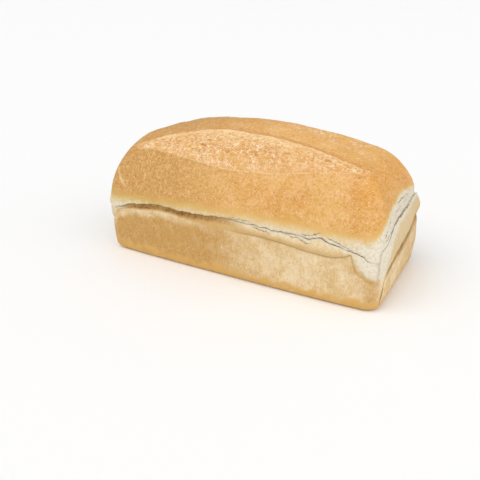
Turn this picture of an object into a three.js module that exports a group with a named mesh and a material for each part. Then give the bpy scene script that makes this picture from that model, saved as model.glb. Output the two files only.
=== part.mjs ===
// Tin loaf: a white loaf baked in a straight-sided tin, with a domed crust,
// a torn shred line round its sides and an opened split along the top.
// Millimetres, +Z up. The origin is under the middle of the flat base,
// +X runs along the loaf and -Y is the front, where the split opened.
import * as THREE from "three";

// Driving dimensions
const HALF_LENGTH = 129.3;        // at the shoulder, where the dough rose out of the tin
const HALF_WIDTH = 57.2;
const HEIGHT = 122.2;             // to the middle of the dome
const SHOULDER = 42.6;            // height of the shoulder
const TIN_TAPER = 2.2;            // how far the tin leans in at its floor
const FLOOR_ROUNDING = 6;
const FRONT_BOW = 1.8;            // how far the long sides bulge between their corners
const BOW_FADE = [30, 60];        // heights between which that bulge dies out
const WALL_CORNER = 12;           // corner radius of the tin wall
const FLOOR_CORNER = 11;          // and of its rounded edge at the floor
const DOME_CORNER = 15;           // corner radius where the dome starts
const RIDGE_HALF = 75;            // half length of the crest of the dome
const END_DROP = 10.6;            // how much lower the crest is at its two ends
const RIDGE_POWER = 2.4;          // 2 is an even curve along the crest, more is flatter
const SIDE_SQUARENESS = 2.3;      // 2 is an ellipse, more is boxier
const END_SQUARENESS = 2.17;

const LOWEST_LEDGE = 2.6;         // least height of the ledge between groove and crack
const EDGE_SWELL = 0.35;          // share of the recess by which the wall's top edge stands out
const EDGE_DROP = 1.5;            // how far under the groove that edge lies
const EDGE_SPREAD = 2.5;
const SUNK_SHARE = 0.35;          // share of the ledge over which the recess sinks in
const HOLLOW_SHARE = 0.2;         // and over which the groove dies out
const SWELL_HEIGHT = 24;          // where the wall stands out most
const SWELL_SPREAD = 14;
const LEDGE_RIM = 0.25;           // share of the bulge left where the ledge meets the crack
const CRACK_HALF = 0.8;           // half height of the crack
const CRACK_DEPTH = 1.7;
const CRACK_SINK = 0.5;           // share of the recess by which the crack lies deeper too
const LIP_START = 0.5;            // share of the crust's roll that it starts with
const LIP_HEIGHT = 8;             // how high the crust's rolled edge reaches
const SPLIT_RECESS = 1.5;         // how far the torn split lies below the crust
const SPLIT_SWELL = 0.75;         // share of that by which its middle rises again
const FAR_RISE = 0.35;            // and share by which it rises towards its far edge
const SPLIT_LIP = 0.9;            // how far its edges curl up
const SPLIT_EDGE = 2.2;           // degrees of dome taken by each curled edge
const SPLIT_INSET = 0.35;         // share of those degrees between an edge and the torn floor
const NEAR_CURL = 0.7;            // shares of the curl at the near edge, at the far edge
const FAR_CURL = 0.9;             // and where the far edge meets the crust again
const OUTER_CURL = 0.3;
const BROAD_WAVE = { height: 0.55, x: 23, y: 31 };
const SHORT_WAVE = { height: 0.35, x: 11.5, y: 14, z: 17 };

// Facets round the loaf
const LONG_STEPS = 36;
const SHORT_STEPS = 14;
const CORNER_STEPS = 6;

// Rings of facets: shares of the way up each band of the loaf, and how far a band's own
// swelling or curling counts at each
const FLOOR_TURNS = [0, 25, 50, 75];
const WALL_SHARES = [0, 0.3, 0.55, 0.75, 0.9];
const LEDGE_SHARES = [0.15, 0.4, 0.65, 0.9];
const LIP_RINGS = [[0.33, 1], [0.7, 0.75], [1, 0.15]];
const CRUST_SHARES = [0.25, 0.5, 0.75, 1];
const SPLIT_SHARES = [0, 0.25, 0.5, 0.75, 1];
const CREST_SHARES = [0.33, 0.67];

// Lines that run round the loaf, as [place, value] pairs. Places 0 to 1 are the front
// from left to right, 1 to 2 its right corner, 2 to 3 the right end, 3 to 4 the next
// corner, 4 to 5 the back, 5 to 6 a corner, 6 to 7 the left end and 7 to 8 the last one.
const CRACK_HEIGHT = [
  [0.0, 43.6], [0.06, 48.2], [0.13, 51], [0.2, 53], [0.3, 51.6], [0.38, 52.2], [0.46, 53.8],
  [0.53, 53.8], [0.62, 53.7], [0.7, 52.4], [0.76, 53], [0.81, 51.9], [0.85, 53.8],
  [0.89, 51.4], [0.97, 48.4], [1.02, 45.6], [1.15, 43.4], [1.38, 42.6], [1.47, 43.4],
  [1.54, 50.4], [1.7, 54.2], [1.9, 58.4], [2.04, 60.6], [2.15, 63.8], [2.5, 65.6],
  [2.85, 67.4], [3.1, 67.4], [3.3, 65], [3.5, 57], [3.7, 50], [4.0, 49], [4.15, 54],
  [4.5, 56], [4.85, 53.5], [5.0, 48], [5.45, 45], [5.6, 50], [6.0, 57], [6.3, 62],
  [6.7, 63], [7.0, 57], [7.4, 47], [7.55, 43.6], [7.8, 42.8],
];
// Underside of the ledge, where it meets the tin-baked wall
const GROOVE_HEIGHT = [
  [0.0, 40.5], [0.06, 44.6], [0.13, 46.4], [0.2, 48.4], [0.3, 46.8], [0.4, 45.4],
  [0.5, 44.8], [0.64, 44.7], [0.75, 43], [0.84, 40.5], [0.9, 41], [0.94, 43.6],
  [0.958, 45.4], [0.966, 38.5], [0.975, 33], [0.99, 29.6], [1.08, 26.8], [1.25, 26.2],
  [1.45, 25.4], [1.54, 22.4], [1.64, 16], [1.72, 11.5], [1.77, 12], [1.81, 19], [1.86, 25],
  [1.95, 30], [2.1, 34.4], [2.3, 38], [2.48, 42], [2.65, 46.5], [2.85, 51.5], [3.1, 52],
  [3.3, 47.5], [3.5, 40], [3.7, 37], [3.9, 39], [4.1, 44], [4.5, 46.5], [4.85, 42],
  [5.1, 36], [5.5, 24], [5.7, 29], [6.0, 38], [6.4, 46], [6.8, 43], [7.2, 32], [7.5, 30],
  [7.8, 34],
];
const LEDGE_BULGE = [
  [0.0, 0.8], [0.05, 0.3], [0.12, 0], [0.42, 0.3], [0.52, 1.5], [0.65, 2.8], [0.85, 3.3],
  [0.94, 1.6], [0.965, 0.8], [1.1, 1.2], [1.5, 0.6], [1.72, 0], [1.88, 0], [2.0, 0.9],
  [2.4, 1.6], [2.9, 1.8], [3.25, 2.2], [3.6, 1.2], [4.1, 2.0], [4.5, 2.6], [4.9, 1.6],
  [5.5, 1.0], [6.2, 2.4], [6.7, 2.4], [7.3, 1.0], [7.7, 0.4],
];
// How far up the ledge it stands out most, as a share of its height
const LEDGE_PEAK = [
  [0.0, 0.5], [0.6, 0.52], [0.9, 0.5], [1.0, 0.4], [1.4, 0.36], [1.7, 0.22], [2.3, 0.18],
  [3.0, 0.28], [3.3, 0.48], [4.0, 0.5], [5.0, 0.5], [5.8, 0.22], [6.8, 0.22], [7.6, 0.5],
];
const LEDGE_RECESS = [
  [0.0, 0], [0.03, 0.8], [0.07, 2.0], [0.12, 2.5], [0.25, 2.7], [0.36, 2.5], [0.45, 1.9],
  [0.54, 0.6], [0.62, 0], [1.0, 0], [4.0, 0], [7.9, 0],
];
const GROOVE_DEPTH = [
  [0.0, 0.2], [0.2, 0], [0.45, 0.3], [0.65, 0.5], [0.85, 0.8], [0.94, 0.2], [1.0, 0.7],
  [1.35, 0.8], [1.5, 0.2], [1.68, 0.2], [1.8, 0.15], [1.9, 0.4], [2.0, 1.7], [2.4, 1.7],
  [2.8, 1.8], [3.3, 1.8], [3.6, 1.0], [4.2, 0.8], [4.7, 1.0], [5.4, 0.8], [5.9, 2.6],
  [6.7, 2.8], [7.3, 0.8],
];
// How far down the wall is drawn in under the ledge
const GROOVE_REACH = [
  [0.0, 2], [0.9, 2], [1.3, 2.2], [1.55, 4], [1.7, 7], [2.1, 9], [2.5, 10], [3.0, 9],
  [3.5, 5], [4.0, 3], [5.0, 3], [5.8, 5], [6.5, 7], [7.1, 5], [7.6, 2.4],
];
// How far the wall below stands out at its middle
const WALL_SWELL = [
  [0.0, 0], [1.6, 0], [1.74, 0], [1.88, -0.2], [1.98, -1.3], [2.1, -0.5], [2.6, 0.6],
  [3.1, 1.3], [3.4, 1.2], [3.8, 0.5], [4.2, 0], [5.3, 0.4], [6.0, 1.2], [6.8, 1.0],
  [7.5, 0],
];
// How far the crust's lower edge stands out over the crack, and less than nothing where it
// is drawn in
const LIP_ROLL = [
  [0.0, 1.6], [0.2, 1.4], [0.6, 1.0], [0.95, 0.8], [1.5, 0], [2.1, -0.8], [2.5, -1.8],
  [3.0, -2.2], [3.4, -1.2], [3.8, 0], [4.2, 1.2], [4.8, 1.2], [5.5, 0.2], [6.5, -0.8],
  [7.2, 0.4], [7.7, 1.6],
];
// The two edges of the split, as degrees up the dome's own profile. They cross the front
// from its left corner to the right end, and elsewhere the pair only spaces the facets.
const SPLIT_NEAR = [
  [0.02, 48], [0.12, 46.6], [0.3, 41.6], [0.5, 38], [0.7, 41.4], [0.85, 48], [0.95, 54.2],
  [1.05, 57.2], [1.5, 57.2], [1.86, 56], [2.15, 52.4], [2.7, 48], [3.5, 46], [6.5, 46],
  [7.5, 47],
];
const SPLIT_FAR = [
  [0.02, 56], [0.08, 62], [0.15, 66.6], [0.25, 70.4], [0.4, 72.3], [0.6, 70], [0.8, 67.6],
  [0.95, 65.8], [1.16, 63.6], [1.53, 61.1], [1.86, 58.9], [2.15, 55], [2.7, 62], [3.5, 68],
  [6.5, 68], [7.5, 53],
];
const SPLIT_STRENGTH = [
  [0.0, 0.5], [0.06, 0.65], [0.15, 0.95], [0.85, 1], [1.1, 0.85], [1.6, 0.6], [2.0, 0.4],
  [2.18, 0.1], [2.3, 0], [7.0, 0], [7.7, 0.25],
];

const { degToRad, lerp, radToDeg, smoothstep } = THREE.MathUtils;

// Value of a line at a place round the loaf: a smooth curve through its pairs.
function along(line, place) {
  const count = line.length;
  const pair = (k) => {
    const turn = Math.floor(k / count);
    const [at, value] = line[k - turn * count];
    return [at + 8 * turn, value];
  };
  let k = -1;
  while (pair(k + 1)[0] <= place) {
    k += 1;
  }
  const [before, start, end, after] = [pair(k - 1), pair(k), pair(k + 1), pair(k + 2)];
  const span = end[0] - start[0];
  const t = (place - start[0]) / span;
  const leave = ((end[1] - before[1]) / (end[0] - before[0])) * span;
  const arrive = ((after[1] - start[1]) / (after[0] - start[0])) * span;
  const s = t * t * (3 - 2 * t);
  return (
    start[1] + (end[1] - start[1]) * s
    + leave * t * (1 - t) ** 2
    - arrive * t * t * (1 - t)
  );
}

// Places round the loaf, anticlockwise from above, each with its share of the half
// length and half width and with the direction its side faces.
function walkRound() {
  const sides = [
    [LONG_STEPS, (t) => [2 * t - 1, -1, -90]],
    [CORNER_STEPS, (t) => [1, -1, -90 + 90 * t]],
    [SHORT_STEPS, (t) => [1, 2 * t - 1, 0]],
    [CORNER_STEPS, (t) => [1, 1, 90 * t]],
    [LONG_STEPS, (t) => [1 - 2 * t, 1, 90]],
    [CORNER_STEPS, (t) => [-1, 1, 90 + 90 * t]],
    [SHORT_STEPS, (t) => [-1, 1 - 2 * t, 180]],
    [CORNER_STEPS, (t) => [-1, -1, 180 + 90 * t]],
  ];
  const stations = [];
  sides.forEach(([steps, side], sideNumber) => {
    for (let k = 0; k < steps; k += 1) {
      const [alongX, alongY, facing] = side(k / steps);
      stations.push({
        place: sideNumber + k / steps,
        alongX,
        alongY,
        out: new THREE.Vector3(Math.cos(degToRad(facing)), Math.sin(degToRad(facing)), 0),
        ridgeStep: Math.round((LONG_STEPS * (alongX + 1)) / 2),
      });
    }
  });
  return stations;
}

// Point of a rounded rectangle seen from above.
function outlinePoint(station, halfLength, halfWidth, radius, z) {
  return new THREE.Vector3(
    (halfLength - radius) * station.alongX + radius * station.out.x,
    (halfWidth - radius) * station.alongY + radius * station.out.y,
    z,
  );
}

// The long sides bulge a little between their corners, low down.
function bow(station, z) {
  const middle = 1 - station.alongX ** 4;
  return FRONT_BOW * middle * Math.abs(station.out.y) * (1 - smoothstep(z, ...BOW_FADE));
}

function ridgePoint(share) {
  const drop = END_DROP * Math.abs(share) ** RIDGE_POWER;
  return new THREE.Vector3(RIDGE_HALF * share, 0, HEIGHT - drop);
}

// Slow unevenness of a hand-shaped loaf, the same for any two solids of this shape.
function unevenness(point) {
  const { x, y, z } = point;
  const broad = Math.sin(x / BROAD_WAVE.x + 0.6) * Math.cos(y / BROAD_WAVE.y + 1.1);
  const short = Math.sin(x / SHORT_WAVE.x + z / SHORT_WAVE.z) * Math.sin(y / SHORT_WAVE.y + 0.4);
  return BROAD_WAVE.height * broad + SHORT_WAVE.height * short;
}

// Rounding from the flat base to the tin wall, at a turn of 0 to 90 degrees.
function floorPoint(station, turn) {
  const inset = TIN_TAPER + FLOOR_ROUNDING * (1 - Math.sin(turn));
  const z = FLOOR_ROUNDING * (1 - Math.cos(turn));
  const point = outlinePoint(station, HALF_LENGTH - inset, HALF_WIDTH - inset, FLOOR_CORNER, z);
  return point.addScaledVector(station.out, bow(station, z));
}

// Tin wall from the floor's rounding up to the shoulder.
function wallPoint(station, z) {
  const inset = TIN_TAPER * (1 - z / SHOULDER);
  const radius = lerp(WALL_CORNER, DOME_CORNER, z / SHOULDER);
  const point = outlinePoint(station, HALF_LENGTH - inset, HALF_WIDTH - inset, radius, z);
  return point.addScaledVector(station.out, bow(station, z));
}

// The dome rises from the shoulder to the ridge on a rounded, slightly boxy profile.
function domeRow(station, degrees) {
  const rim = outlinePoint(station, HALF_LENGTH, HALF_WIDTH, DOME_CORNER, SHOULDER);
  const ridge = ridgePoint(station.alongX);
  const squareness = lerp(SIDE_SQUARENESS, END_SQUARENESS, Math.abs(station.out.x));
  const angle = degToRad(degrees);
  const inward = 1 - Math.cos(angle) ** (2 / squareness);
  const z = lerp(SHOULDER, ridge.z, Math.sin(angle));
  const point = new THREE.Vector3(lerp(rim.x, ridge.x, inward), lerp(rim.y, ridge.y, inward), z);
  point.addScaledVector(station.out, bow(station, z));
  const across = new THREE.Vector3(rim.x - ridge.x, rim.y - ridge.y, 0);
  const normal = across.clone().normalize().multiplyScalar(Math.cos(angle) / across.length());
  normal.z = Math.sin(angle) / (ridge.z - SHOULDER);
  return { point, normal: normal.normalize() };
}

function degreesAtHeight(station, z) {
  const ridge = ridgePoint(station.alongX);
  return radToDeg(Math.asin((z - SHOULDER) / (ridge.z - SHOULDER)));
}

function rowAtHeight(station, z) {
  if (z < SHOULDER) {
    return { point: wallPoint(station, z), normal: station.out };
  }
  return domeRow(station, degreesAtHeight(station, z));
}

// Every line's value at one place.
function valuesAt(place) {
  const crack = along(CRACK_HEIGHT, place);
  return {
    crack,
    groove: Math.min(along(GROOVE_HEIGHT, place), crack - LOWEST_LEDGE),
    bulge: along(LEDGE_BULGE, place),
    peak: along(LEDGE_PEAK, place),
    recess: Math.max(along(LEDGE_RECESS, place), 0),
    depth: along(GROOVE_DEPTH, place),
    reach: along(GROOVE_REACH, place),
    swell: along(WALL_SWELL, place),
    lip: along(LIP_ROLL, place),
    near: along(SPLIT_NEAR, place),
    far: along(SPLIT_FAR, place),
    split: THREE.MathUtils.clamp(along(SPLIT_STRENGTH, place), 0, 1),
  };
}

// How far the wall stands out at a height, and less than nothing where it is drawn in.
function wallPush({ groove, depth, reach, recess, swell }, z) {
  const hollow = depth * Math.exp(-(((groove - z) / reach) ** 2));
  const topEdge = EDGE_SWELL * recess * Math.exp(-(((groove - z - EDGE_DROP) / EDGE_SPREAD) ** 2));
  const middle = swell * Math.exp(-(((z - SWELL_HEIGHT) / SWELL_SPREAD) ** 2));
  return middle + topEdge - hollow;
}

// One section of the loaf, from the edge of its flat base up to just below the ridge.
function section(station) {
  const values = valuesAt(station.place);
  const { crack, groove, bulge, peak, recess, depth, lip, near, far, split } = values;
  const rows = [];
  const push = (row, distance) => {
    const total = distance + unevenness(row.point);
    rows.push(row.point.clone().addScaledVector(row.normal, total));
  };

  for (const degrees of FLOOR_TURNS) {
    const turn = degToRad(degrees);
    const point = floorPoint(station, turn);
    rows.push(point.addScaledVector(station.out, wallPush(values, point.z) * Math.sin(turn)));
  }
  for (const share of WALL_SHARES) {
    const z = lerp(FLOOR_ROUNDING, groove, share);
    push(rowAtHeight(station, z), wallPush(values, z));
  }
  push(rowAtHeight(station, groove), wallPush(values, groove));

  // ledge, a rounded bulge or a sunk band
  const ledgeHeight = crack - CRACK_HALF - groove;
  for (const share of LEDGE_SHARES) {
    const round = Math.sin(Math.PI * share ** (Math.log(0.5) / Math.log(peak)));
    const sunk = Math.min(1, share / SUNK_SHARE);
    const hollow = depth * Math.max(0, 1 - share / HOLLOW_SHARE);
    const lift = bulge * round - recess * sunk - hollow;
    push(rowAtHeight(station, groove + ledgeHeight * share), lift);
  }

  // crack under the crust's rolled edge
  push(rowAtHeight(station, crack - CRACK_HALF), LEDGE_RIM * bulge - recess);
  push(rowAtHeight(station, crack), -CRACK_DEPTH - CRACK_SINK * recess);
  push(rowAtHeight(station, crack + CRACK_HALF), LIP_START * lip);
  for (const [share, roll] of LIP_RINGS) {
    push(rowAtHeight(station, crack + CRACK_HALF + LIP_HEIGHT * share), lip * roll);
  }

  // crust up to the split, the split, and on to the crest
  const start = degreesAtHeight(station, crack + CRACK_HALF + LIP_HEIGHT);
  const lowEdge = near - SPLIT_EDGE;
  const highEdge = far + SPLIT_EDGE;
  for (const share of CRUST_SHARES) {
    push(domeRow(station, lerp(start, lowEdge, share)), 0);
  }
  push(domeRow(station, near), NEAR_CURL * SPLIT_LIP * split);
  const inset = SPLIT_INSET * SPLIT_EDGE;
  for (const share of SPLIT_SHARES) {
    const angle = lerp(near + inset, far - inset, share);
    const rise = SPLIT_SWELL * Math.sin(Math.PI * share) + FAR_RISE * share ** 2;
    push(domeRow(station, angle), split * SPLIT_RECESS * (rise - 1));
  }
  push(domeRow(station, far), FAR_CURL * SPLIT_LIP * split);
  push(domeRow(station, highEdge), OUTER_CURL * SPLIT_LIP * split);
  for (const share of CREST_SHARES) {
    push(domeRow(station, lerp(highEdge, 90, share)), 0);
  }
  return rows;
}

// The closed surface: sections joined into rings, the base closed along a line under the
// ridge and the dome closed along the ridge.
function loafGeometry() {
  const stations = walkRound();
  const sections = stations.map(section);
  const rowCount = sections[0].length;
  const positions = [];
  const triangles = [];
  for (let row = 0; row < rowCount; row += 1) {
    for (const points of sections) {
      positions.push(...points[row].toArray());
    }
  }
  const ridgeStart = positions.length / 3;
  const baseStart = ridgeStart + LONG_STEPS + 1;
  for (let step = 0; step <= LONG_STEPS; step += 1) {
    const point = ridgePoint((2 * step) / LONG_STEPS - 1);
    positions.push(point.x, point.y, point.z + unevenness(point));
  }
  for (let step = 0; step <= LONG_STEPS; step += 1) {
    positions.push(ridgePoint((2 * step) / LONG_STEPS - 1).x, 0, 0);
  }

  const triangle = (a, b, c) => {
    if (a !== b && b !== c && c !== a) {
      triangles.push(a, b, c);
    }
  };
  const quad = (a, b, c, d) => {
    triangle(a, b, c);
    triangle(a, c, d);
  };
  const count = stations.length;
  for (let i = 0; i < count; i += 1) {
    const next = (i + 1) % count;
    for (let row = 0; row < rowCount - 1; row += 1) {
      const low = row * count;
      const high = low + count;
      quad(low + i, low + next, high + next, high + i);
    }
    const last = (rowCount - 1) * count;
    const step = stations[i].ridgeStep;
    const nextStep = stations[next].ridgeStep;
    quad(last + i, last + next, ridgeStart + nextStep, ridgeStart + step);
    quad(baseStart + step, baseStart + nextStep, next, i);
  }

  const geometry = new THREE.BufferGeometry();
  geometry.setAttribute("position", new THREE.Float32BufferAttribute(positions, 3));
  geometry.setIndex(triangles);
  geometry.computeBoundingBox();
  const centre = geometry.boundingBox.getCenter(new THREE.Vector3());
  geometry.translate(-centre.x, -centre.y, 0);
  geometry.computeVertexNormals();
  return geometry;
}

// Golden baked crust
const crust = new THREE.MeshStandardMaterial({ color: 0xe0a868, roughness: 0.7, metalness: 0 });

const loaf = new THREE.Mesh(loafGeometry(), crust);
loaf.name = "loaf";

const tinLoaf = new THREE.Group();
tinLoaf.name = "tin_loaf";
tinLoaf.add(loaf);

export default tinLoaf;
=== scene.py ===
# Tin loaf: white bread with a domed golden crust, a torn floury shred line round its
# sides, a tin-baked lower wall and an opened, grainy split along the top.
# The surface is worked out in millimetres in the CAD model's own frame, +Z up, with the
# origin under the middle of the flat base, and turned into metres at the end.
import math

import bpy
import numpy as np
from mathutils import Matrix, Vector, noise


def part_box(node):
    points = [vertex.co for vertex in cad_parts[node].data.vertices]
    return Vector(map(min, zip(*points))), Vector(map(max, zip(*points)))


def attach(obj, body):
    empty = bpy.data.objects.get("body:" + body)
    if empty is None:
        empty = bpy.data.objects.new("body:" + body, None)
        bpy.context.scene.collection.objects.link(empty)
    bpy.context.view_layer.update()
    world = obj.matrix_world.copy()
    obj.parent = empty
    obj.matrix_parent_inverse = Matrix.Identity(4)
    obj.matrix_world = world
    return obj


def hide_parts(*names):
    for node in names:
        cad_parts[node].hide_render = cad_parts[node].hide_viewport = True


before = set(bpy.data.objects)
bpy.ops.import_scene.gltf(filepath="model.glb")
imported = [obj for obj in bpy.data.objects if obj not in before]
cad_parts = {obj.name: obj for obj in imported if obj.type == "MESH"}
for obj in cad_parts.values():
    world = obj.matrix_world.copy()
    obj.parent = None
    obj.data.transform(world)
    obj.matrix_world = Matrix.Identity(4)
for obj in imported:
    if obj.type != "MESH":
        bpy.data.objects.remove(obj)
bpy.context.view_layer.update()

MM = 0.001

# ---------------------------------------------------------------- driving dimensions, mm
HALF_LENGTH = 129.3       # at the shoulder, where the dough rose out of the tin
HALF_WIDTH = 57.2
HEIGHT = 122.2            # to the middle of the dome
SHOULDER = 42.6           # height of the shoulder
TIN_TAPER = 2.2           # how far the tin leans in at its floor
FLOOR_ROUNDING = 6.0
FRONT_BOW = 1.8           # how far the long sides bulge between their corners
BOW_FADE = (30.0, 60.0)   # heights between which that bulge dies out
WALL_CORNER = 12.0        # corner radius of the tin wall
FLOOR_CORNER = 11.0       # and of its rounded edge at the floor
DOME_CORNER = 15.0        # corner radius where the dome starts
RIDGE_HALF = 75.0         # half length of the crest of the dome
END_DROP = 10.6           # how much lower the crest is at its two ends
RIDGE_POWER = 2.4         # 2 is an even curve along the crest, more is flatter
SIDE_SQUARENESS = 2.3     # 2 is an ellipse, more is boxier
END_SQUARENESS = 2.17

LOWEST_LEDGE = 2.2        # least height of the ledge between groove and crack
EDGE_SWELL = 0.35         # share of the recess by which the wall's top edge stands out
EDGE_DROP = 1.5           # how far under the groove that edge lies
EDGE_SPREAD = 2.5
SUNK_SHARE = 0.35         # share of the ledge over which the recess sinks in
HOLLOW_SHARE = 0.2        # and over which the groove dies out
FULL_RECESS = 2.5         # a recess this deep counts as fully sunk
SWELL_HEIGHT = 24.0       # where the wall stands out most
SWELL_SPREAD = 14.0
LEDGE_RIM = 0.25          # share of the bulge left where the ledge meets the crack
CRACK_HALF = 0.36         # half height of the crack, where it is open by 1
CRACK_DEPTH = 1.7
CRACK_SINK = 0.5          # share of the recess by which the crack lies deeper too
CRACK_BEND = 0.45         # share of its half height where the crack's sides turn
BEND_DEPTH = 0.7          # share of its depth there
BEND_SINK = 0.6           # and share of the recess
LIP_START = 0.5           # share of the crust's roll that it starts with
LIP_END = 0.15            # and that is left at the top of its rolled edge
LIP_HEIGHT = 8.0          # how high that edge reaches
ROLL_START = 0.25         # where on its half turn the roll starts
ROLL_POWER = 0.8          # less than 1 is fuller
SPLIT_RECESS = 1.5        # how far the torn split lies below the crust
SPLIT_SWELL = 0.75        # share of that by which its middle rises again
SWELL_POWER = 0.7         # less than 1 is fuller
FAR_RISE = 0.35           # and share by which it rises towards its far edge
SPLIT_LIP = 0.9           # how far its edges curl up
SPLIT_EDGE = 2.2          # degrees of dome taken by each curled edge
SPLIT_INSET = 0.35        # share of those degrees between an edge and the torn floor
OUTER_CURL = 0.3          # share of the curl that dies out towards the crest

BROAD_WAVE = {"height": 0.55, "x": 23, "y": 31}
SHORT_WAVE = {"height": 0.35, "x": 11.5, "y": 14, "z": 17}
SEAM_PLACE = 1.49         # place of the seam that runs down the right front corner
SEAM_WIDTH = 0.035        # as a share of a side
SEAM_DEPTH = 0.8
SEAM_FOOT = (20.0, 27.0)   # heights between which it fades in
HAIR_WIDTH = 0.7          # of a hair crack
HAIR_DEPTH = 0.5

# Spots where the crust looks different, as spans or as a middle and its reach
DARKER_LEFT_SPAN = (-30.0, 80.0)         # towards the left end, where it is darker
END_BAKED_SPAN = (98.0, 112.0)     # along X, at the top of the right end
END_BAKED_HEIGHT = (78.0, 92.0)
DUSTED_X = (62.0, 42.0)            # dusted patch behind the split
DUSTED_Y = (2.0, 17.0)
BROWNER_SPLIT_X = (50.0, 28.0)     # browner right part of the split
# Places between which the shred is whitest, at the right end and the left end
RIGHT_WHITE = (0.95, 1.0, 3.4, 3.8)
LEFT_WHITE = (5.3, 5.7, 7.2, 7.6)
# Places between which the wall has no painted highlight on its top edge under the ledge
NO_RIM_HIGHLIGHT = (0.3, 0.48, 7.2, 7.5)
STEEP_VALLEY = (1.84, 0.06)        # place where the valley drops steeply, and its reach

# Facets round the loaf
LONG_STEPS = 190
SHORT_STEPS = 70
CORNER_STEPS = 30

# Rings of facets in each band of the loaf, from the floor up
FLOOR_RINGS = 6
LAST_TURN = 75            # degrees of the floor's rounding at the last of them
WALL_RINGS = 27
WALL_SPACING = 0.85       # less than 1 brings the rings closer towards the wall's top
LEDGE_RINGS = 12
LEDGE_SPAN = (0.06, 0.96)
LIP_SHARES = (0.12, 0.25, 0.4, 0.55, 0.7, 0.85, 1.0)
CRUST_RINGS = 30
SPLIT_RINGS = 26
CREST_RINGS = 22
# Shares of the way over each curled edge of the split, and shares of the curl there
NEAR_CURL = ((0.35, 0.3), (0.7, 0.7), (1.0, 0.7))
FAR_CURL = ((0.0, 0.9), (0.4, 0.8), (1.0, OUTER_CURL))

# Lines that run round the loaf, as (place, value) pairs. Places 0 to 1 are the front from
# left to right, 1 to 2 its right corner, 2 to 3 the right end, 3 to 4 the next corner,
# 4 to 5 the back, 5 to 6 a corner, 6 to 7 the left end and 7 to 8 the last corner.
FULL_TURN = 8

# Height of the crack under the crust
CRACK_HEIGHT = [
    (0.0, 43.6), (0.06, 48.2), (0.13, 51), (0.2, 53), (0.3, 51.6), (0.38, 52.2),
    (0.46, 53.8), (0.53, 53.8), (0.62, 53.7), (0.7, 52.4), (0.76, 53), (0.81, 51.9),
    (0.85, 53.8), (0.89, 51.4), (0.97, 48.4), (1.02, 45.6), (1.15, 43.4), (1.38, 42.6),
    (1.47, 43.4), (1.54, 50.4), (1.7, 54.2), (1.9, 58.4), (2.04, 60.6), (2.15, 63.8),
    (2.5, 65.6), (2.85, 67.4), (3.1, 67.4), (3.3, 65), (3.5, 57), (3.7, 50), (4.0, 49),
    (4.15, 54), (4.5, 56), (4.85, 53.5), (5.0, 48), (5.45, 45), (5.6, 50), (6.0, 57),
    (6.3, 62), (6.7, 63), (7.0, 57), (7.4, 47), (7.55, 43.6), (7.8, 42.8),
]
# Underside of the ledge, where it meets the tin-baked wall
GROOVE_HEIGHT = [
    (0.0, 40.5), (0.06, 44.6), (0.13, 46.4), (0.2, 48.4), (0.3, 46.8), (0.4, 45.4),
    (0.5, 44.8), (0.64, 44.7), (0.75, 43), (0.84, 40.5), (0.9, 41), (0.94, 43.6),
    (0.958, 45.4), (0.966, 38.5), (0.975, 33), (0.99, 29.6), (1.08, 26.8), (1.25, 26.2),
    (1.45, 25.4), (1.54, 22.4), (1.64, 16), (1.72, 11.5), (1.77, 12), (1.81, 19),
    (1.86, 25), (1.95, 30), (2.1, 34.4), (2.3, 38), (2.48, 42), (2.65, 46.5), (2.85, 51.5),
    (3.1, 52), (3.3, 47.5), (3.5, 40), (3.7, 37), (3.9, 39), (4.1, 44), (4.5, 46.5),
    (4.85, 42), (5.1, 36), (5.5, 24), (5.7, 29), (6.0, 38), (6.4, 46), (6.8, 43), (7.2, 32),
    (7.5, 30), (7.8, 34),
]
# How far the ledge stands out
LEDGE_BULGE = [
    (0.0, 0.8), (0.05, 0.3), (0.12, 0), (0.42, 0.3), (0.52, 1.5), (0.65, 2.8), (0.85, 3.3),
    (0.94, 1.6), (0.965, 0.8), (1.1, 1.2), (1.5, 0.6), (1.72, 0), (1.88, 0), (2.0, 0.9),
    (2.4, 1.6), (2.9, 1.8), (3.25, 2.2), (3.6, 1.2), (4.1, 2.0), (4.5, 2.6), (4.9, 1.6),
    (5.5, 1.0), (6.2, 2.4), (6.7, 2.4), (7.3, 1.0), (7.7, 0.4),
]
# How far up the ledge it stands out most, as a share of its height
LEDGE_PEAK = [
    (0.0, 0.5), (0.6, 0.52), (0.9, 0.5), (1.0, 0.4), (1.4, 0.36), (1.7, 0.22), (2.3, 0.18),
    (3.0, 0.28), (3.3, 0.48), (4.0, 0.5), (5.0, 0.5), (5.8, 0.22), (6.8, 0.22), (7.6, 0.5),
]
# How far the ledge is sunk in instead
LEDGE_RECESS = [
    (0.0, 0), (0.03, 0.8), (0.07, 2.0), (0.12, 2.5), (0.25, 2.7), (0.36, 2.5), (0.45, 1.9),
    (0.54, 0.6), (0.62, 0), (1.0, 0), (4.0, 0), (7.9, 0),
]
# How deep the groove under the ledge is
GROOVE_DEPTH = [
    (0.0, 0.2), (0.2, 0), (0.45, 0.3), (0.65, 0.5), (0.85, 0.8), (0.94, 0.2), (1.0, 0.7),
    (1.35, 0.8), (1.5, 0.2), (1.68, 0.2), (1.8, 0.15), (1.9, 0.4), (2.0, 1.7), (2.4, 1.7),
    (2.8, 1.8), (3.3, 1.8), (3.6, 1.0), (4.2, 0.8), (4.7, 1.0), (5.4, 0.8), (5.9, 2.6),
    (6.7, 2.8), (7.3, 0.8),
]
# How far down the wall is drawn in under the ledge
GROOVE_REACH = [
    (0.0, 2), (0.9, 2), (1.3, 2.2), (1.55, 4), (1.7, 7), (2.1, 9), (2.5, 10), (3.0, 9),
    (3.5, 5), (4.0, 3), (5.0, 3), (5.8, 5), (6.5, 7), (7.1, 5), (7.6, 2.4),
]
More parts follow.
